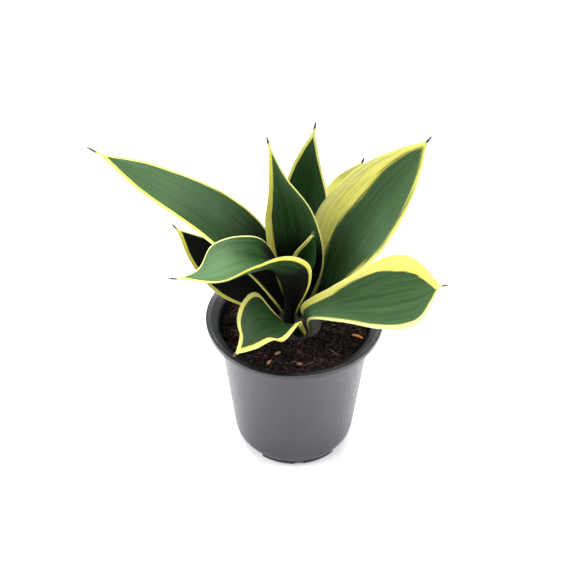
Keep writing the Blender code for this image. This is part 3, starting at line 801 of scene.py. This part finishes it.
def pot_openings():
    """One cutter with the gaps in the foot ring and the drain slots in the base."""
    foot_outer = wall_radius(FOOT_HEIGHT) - FOOT_INSET
    foot_inner = foot_outer - FOOT_WIDTH
    foot_span = (foot_inner - CUT_MARGIN, foot_outer + CUT_MARGIN, -CUT_MARGIN, FOOT_HEIGHT)
    period = 360 / FOOT_REPEATS
    blocks = []
    for turn in range(FOOT_REPEATS):
        notch = FOOT_TURN + turn * period
        blocks.append(sector_block(notch, NOTCH_ANGLE, *foot_span))
        blocks.append(sector_block(notch + period / 2, WIDE_GAP_ANGLE, *foot_span))
    drain_radius = (BOSS_RADIUS + foot_inner) / 2
    drain_angle = math.degrees(DRAIN_WIDTH / drain_radius)
    drain_start = drain_radius - DRAIN_LENGTH / 2
    base_top = FOOT_HEIGHT + BASE_THICKNESS
    drain_span = (drain_start, drain_start + DRAIN_LENGTH, FOOT_HEIGHT - CUT_MARGIN, base_top + CUT_MARGIN)
    for turn in range(DRAIN_COUNT):
        blocks.append(sector_block(DRAIN_TURN + turn * 360 / DRAIN_COUNT, drain_angle, *drain_span))
    vertices = []
    faces = []
    for block_vertices, block_faces in blocks:
        first = len(vertices)
        vertices.extend(block_vertices)
        faces.extend([tuple(first + corner for corner in face) for face in block_faces])
    return vertices, faces


def make_pot():
    """The pot with its rounded edges, foot gaps and drain slots."""
    material = plastic_material()
    pot = make_object("pot_body", *turned_body(pot_profile(), POT_SEGMENTS), material)
    cutter = make_object("pot_openings", *pot_openings(), material, smooth=False)
    turn_outward(pot)
    turn_outward(cutter)
    modifier = pot.modifiers.new("cut", "BOOLEAN")
    modifier.object = cutter
    modifier.solver = "EXACT"
    bake_modifiers(pot)
    bpy.data.objects.remove(cutter, do_unlink=True)
    pot.data.set_sharp_from_angle(angle=math.radians(SHARP_ANGLE))
    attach(pot, "root")
    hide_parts("nursery_pot")


def turn_outward(item):
    """Turns a closed body's faces outward."""
    body = bmesh.new()
    body.from_mesh(item.data)
    bmesh.ops.recalc_face_normals(body, faces=body.faces)
    if body.calc_volume(signed=True) < 0:
        bmesh.ops.reverse_faces(body, faces=body.faces)
    body.to_mesh(item.data)
    body.free()


def bake_modifiers(item):
    """Bakes an object's modifiers into its mesh."""
    graph = bpy.context.evaluated_depsgraph_get()
    mesh = bpy.data.meshes.new_from_object(item.evaluated_get(graph))
    item.modifiers.clear()
    item.data = mesh


def soil_height(x, y):
    """Height of the lumpy soil: level by the wall, lower in a dish around the rhizome."""
    broad_lumps = math.sin(0.31 * x + 1.3) * math.cos(0.27 * y - 0.4)
    small_lumps = math.sin(0.53 * x - 0.44 * y)
    dish = math.exp(-(math.hypot(x, y - CROWN_Y) / DISH_RADIUS) ** 4)
    lumps = SOIL_RELIEF * (0.6 * broad_lumps + 0.4 * small_lumps)
    return SOIL_TOP + lumps * (1 - dish) - SOIL_DIP * dish


def soil_material():
    """Moist peat: near black, with reddish brown crumbs that follow each crumb's own tint."""
    recipe = Recipe("soil_crumb_skin")
    place = recipe.place()
    tint = recipe.attribute("tint")
    mottle = recipe.noise(place, scale=900.0, detail=4.0, roughness=0.65)
    color = recipe.mix(recipe.rise(tint, 0.25, 0.95), PEAT_BLACK, PEAT_BROWN)
    color = recipe.mix(recipe.rise(mottle, 0.45, 0.75, 0.0, 0.5), color, PEAT_MOTTLE)
    recipe.set(Base_Color=color, Roughness=recipe.rise(mottle, 0.3, 0.7, 0.72, 0.95), Specular_IOR_Level=0.12)
    recipe.bump(recipe.noise(place, scale=2200.0, detail=4.0, roughness=0.7), strength=0.8, distance=0.0005)
    return recipe.material


def make_soil():
    """The soil's body: a lid with fine crumbly relief over plain hidden sides."""
    material = soil_material()
    base_top = FOOT_HEIGHT + BASE_THICKNESS
    top_radius = inner_radius(SOIL_TOP) - GAP
    vertices = []
    sides = (
        (inner_radius(base_top) - 2 * SOIL_CORNER - GAP, base_top + GAP),
        (inner_radius(CORNER_HEIGHT) - 2 * GAP, CORNER_HEIGHT),
        (top_radius, SOIL_TOP - SOIL_LID_DEPTH),
    )
    for radius, height in sides:
        for spoke in range(SOIL_SPOKES):
            angle = 2 * math.pi * spoke / SOIL_SPOKES
            vertices.append((radius * math.cos(angle), radius * math.sin(angle), height))
    for ring in range(SOIL_RINGS):
        radius = top_radius * (1 - ring / SOIL_RINGS) ** SOIL_RING_CROWDING
        for spoke in range(SOIL_SPOKES):
            angle = 2 * math.pi * spoke / SOIL_SPOKES
            x = radius * math.cos(angle)
            y = radius * math.sin(angle)
            rough = ROUGHNESS_HEIGHT * noise.fractal(Vector((x, y, 3.0)) * ROUGHNESS_WAVES, 0.8, 2.1, 5)
            drop = SOIL_EDGE_DROP if ring == 0 else 0.0
            vertices.append((x, y, soil_height(x, y) + rough - ROUGHNESS_SINK - drop))
    ring_count = len(sides) + SOIL_RINGS
    faces = ring_faces(ring_count, SOIL_SPOKES)
    bottom = len(vertices)
    vertices.append((0, 0, base_top + GAP))
    vertices.append((0, 0, soil_height(0, 0)))
    last_ring = (ring_count - 1) * SOIL_SPOKES
    for spoke in range(SOIL_SPOKES):
        following = (spoke + 1) % SOIL_SPOKES
        faces.append((bottom, following, spoke))
        faces.append((bottom + 1, last_ring + spoke, last_ring + following))
    soil = make_object("soil_bed", vertices, faces, material)
    turn_outward(soil)
    tints = [0.5 + 0.5 * noise.noise(Vector(vertex) * TINT_WAVES) for vertex in vertices]
    add_attribute(soil, "tint", tints)
    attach(soil, "root")
    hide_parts("potting_soil")
    return material


def ball():
    """Points and faces of a small round ball."""
    body = bmesh.new()
    bmesh.ops.create_icosphere(body, subdivisions=2, radius=1.0)
    points = [vertex.co.copy() for vertex in body.verts]
    faces = [tuple(vertex.index for vertex in face.verts) for face in body.faces]
    body.free()
    return points, faces


def crumb_points(ball_points, center, size, seed):
    """Vertices of one rough crumb, from a small ball pushed in and out by noise."""
    vertices = []
    for direction in ball_points:
        bulge = 1 + CRUMB_BULGE * noise.noise(direction * 1.7 + Vector((seed, 0, 0)))
        flattened = Vector((direction.x, direction.y, direction.z * CRUMB_FLATNESS))
        vertices.append(tuple(Vector(center) + flattened * size * bulge))
    return vertices


def make_crumbs(material, dice):
    """Loose crumbs of peat spread evenly over the soil, redder on the left."""
    vertices = []
    faces = []
    tints = []
    ball_points, ball_faces = ball()
    limit = inner_radius(SOIL_TOP) - CRUMB_WALL_GAP
    for number in range(CRUMB_COUNT):
        radius = limit * math.sqrt(dice.uniform(0.02, 1.0))
        angle = dice.uniform(0, 2 * math.pi)
        x = radius * math.cos(angle)
        y = radius * math.sin(angle)
        size = CRUMB_SMALLEST + CRUMB_SPREAD * dice.random() ** 3
        center = (x, y, soil_height(x, y) + size * dice.uniform(-0.3, 0.35))
        first = len(vertices)
        vertices.extend(crumb_points(ball_points, center, size, number * CRUMB_SEED_STEP))
        faces.extend([tuple(first + corner for corner in face) for face in ball_faces])
        redder = RED_PEAT_TINT if x < RED_PEAT_SIDE else 0.0
        tints.extend([min(1.0, dice.random() ** 1.6 + redder)] * len(ball_points))
    crumbs = make_object("soil_crumbs", vertices, faces, material)
    add_attribute(crumbs, "tint", tints)
    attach(crumbs, "root")


def fibre_material():
    """Dry root hair, from dark brown to straw."""
    recipe = Recipe("root_fibre_skin")
    tint = recipe.attribute("tint")
    color = recipe.mix(recipe.rise(tint, 0.1, 0.9), FIBRE_DARK, FIBRE_PALE)
    recipe.set(Base_Color=color, Roughness=recipe.rise(tint, 0.0, 1.0, 0.85, 0.6))
    return recipe.material


def make_fibres(dice):
    """Fine root hairs and straws that lie over the soil."""
    vertices = []
    faces = []
    tints = []
    limit = inner_radius(SOIL_TOP) - FIBRE_WALL_GAP
    last_ring = FIBRE_STEPS * FIBRE_SIDES
    tube_faces = ring_faces(FIBRE_STEPS + 1, FIBRE_SIDES)
    tube_faces.append(tuple(reversed(range(FIBRE_SIDES))))
    tube_faces.append(tuple(last_ring + corner for corner in range(FIBRE_SIDES)))
    for _ in range(FIBRE_COUNT):
        radius = limit * math.sqrt(dice.random())
        start_angle = dice.uniform(0, 2 * math.pi)
        x = radius * math.cos(start_angle)
        y = radius * math.sin(start_angle)
        way = dice.uniform(0, 2 * math.pi)
        bend = dice.uniform(-FIBRE_BEND, FIBRE_BEND)
        stride = dice.uniform(*FIBRE_LENGTHS) / FIBRE_STEPS
        thick = dice.choice(FIBRE_RADII)
        tint = dice.random() ** 1.4
        lift = dice.uniform(*FIBRE_LIFTS)
        first = len(vertices)
        for step in range(FIBRE_STEPS + 1):
            share = step / FIBRE_STEPS
            if math.hypot(x, y) < limit + 1.0:
                x += stride * math.cos(way)
                y += stride * math.sin(way)
            way += bend + 0.25 * noise.noise(Vector((x, y, step)))
            z = soil_height(x, y) + lift * math.sin(math.pi * share) + GAP
            size = thick * (1 - 0.6 * abs(2 * share - 1))
            for corner in range(FIBRE_SIDES):
                angle = 2 * math.pi * corner / FIBRE_SIDES
                aside = size * math.cos(angle)
                rise = size * math.sin(angle)
                vertices.append((x - aside * math.sin(way), y + aside * math.cos(way), z + rise))
        faces.extend([tuple(first + corner for corner in face) for face in tube_faces])
        tints.extend([tint] * (FIBRE_SIDES * (FIBRE_STEPS + 1)))
    fibres = make_object("soil_fibres", vertices, faces, fibre_material())
    add_attribute(fibres, "tint", tints)
    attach(fibres, "root")


def bark_material(name, pale, dark):
    """Wood chip with a lengthwise grain."""
    recipe = Recipe(f"{name}_skin")
    place = recipe.place()
    x, y, z = recipe.split(place)
    along_grain = recipe.vector(recipe.math("MULTIPLY", x, 0.35), y, z)
    grain = recipe.noise(along_grain, scale=1500.0, detail=4.0, roughness=0.6)
    color = recipe.mix(recipe.rise(grain, 0.35, 0.65), pale, dark)
    recipe.set(Base_Color=color, Roughness=recipe.rise(grain, 0.3, 0.7, 0.65, 0.85))
    recipe.bump(grain, strength=0.6, distance=0.0003)
    return recipe.material


def finish_chips():
    """The chips keep the frame's own shape and get a grained skin."""
    for name, (pale, dark) in CHIP_COLORS.items():
        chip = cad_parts[name]
        chip.material_slots[0].material = bark_material(name, pale, dark)


def finish_rhizome():
    """The rhizome keeps the frame's own shape and gets a dark scaly skin."""
    recipe = Recipe("rhizome_skin")
    place = recipe.place()
    scales = recipe.noise(place, scale=300.0, detail=5.0, roughness=0.65)
    color = recipe.mix(recipe.rise(scales, 0.35, 0.7), RHIZOME_DARK, RHIZOME_PALE)
    recipe.set(Base_Color=color, Roughness=recipe.rise(scales, 0.3, 0.7, 0.6, 0.85))
    recipe.bump(scales, strength=0.8, distance=0.0008)
    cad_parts["rhizome"].material_slots[0].material = recipe.material


def make_floor():
    """White paper under the pot, far past the picture's edges."""
    recipe = Recipe("floor_paper")
    soft = recipe.noise(recipe.place(), scale=6.0, detail=2.0)
    recipe.set(Base_Color=recipe.mix(soft, *FLOOR_COLORS), Roughness=0.9)
    reach = FLOOR_REACH
    corners = [(-reach, -reach, 0), (reach, -reach, 0), (reach, reach, 0), (-reach, reach, 0)]
    floor = make_object("studio_floor", corners, [(0, 1, 2, 3)], recipe.material, smooth=False)


def area_light(name, place, size, power):
    """A soft square light that faces the plant."""
    data = bpy.data.lights.new(name, "AREA")
    data.energy = power
    data.size = size
    lamp = bpy.data.objects.new(name, data)
    bpy.context.scene.collection.objects.link(lamp)
    lamp.location = place
    target = Vector((0, 0, POT_HEIGHT * MM))
    lamp.rotation_euler = (target - Vector(place)).to_track_quat("-Z", "Y").to_euler()


def make_light():
    """Soft boxes on both sides and above, in an evenly white room."""
    for name, (place, size, power) in SOFTBOXES.items():
        area_light(name, place, size, power)
    world = bpy.data.worlds.new("studio")
    bpy.context.scene.world = world
    world.use_nodes = True
    world.node_tree.nodes["Background"].inputs["Color"].default_value = (1, 1, 1, 1)
    world.node_tree.nodes["Background"].inputs["Strength"].default_value = ROOM_BRIGHTNESS


def make_camera():
    """The camera looks down on the plant from the front."""
    data = bpy.data.cameras.new("camera")
    data.lens = CAMERA_LENS
    data.sensor_width = CAMERA_SENSOR
    camera = bpy.data.objects.new("camera", data)
    bpy.context.scene.collection.objects.link(camera)
    camera.location = Vector(CAMERA_PLACE) * MM
    camera.rotation_euler = (math.radians(90 - CAMERA_PITCH), 0, math.radians(CAMERA_YAW))
    bpy.context.scene.camera = camera


make_camera()
make_light()
make_floor()
make_pot()
dice = random.Random(DICE_SEED)
soil_skin = make_soil()
make_crumbs(soil_skin, dice)
make_fibres(dice)
finish_rhizome()
finish_chips()
for seed, (name, leaf) in enumerate(LEAVES.items()):
    make_leaf(name, leaf, float(seed))

bpy.context.scene.view_settings.view_transform = "Standard"
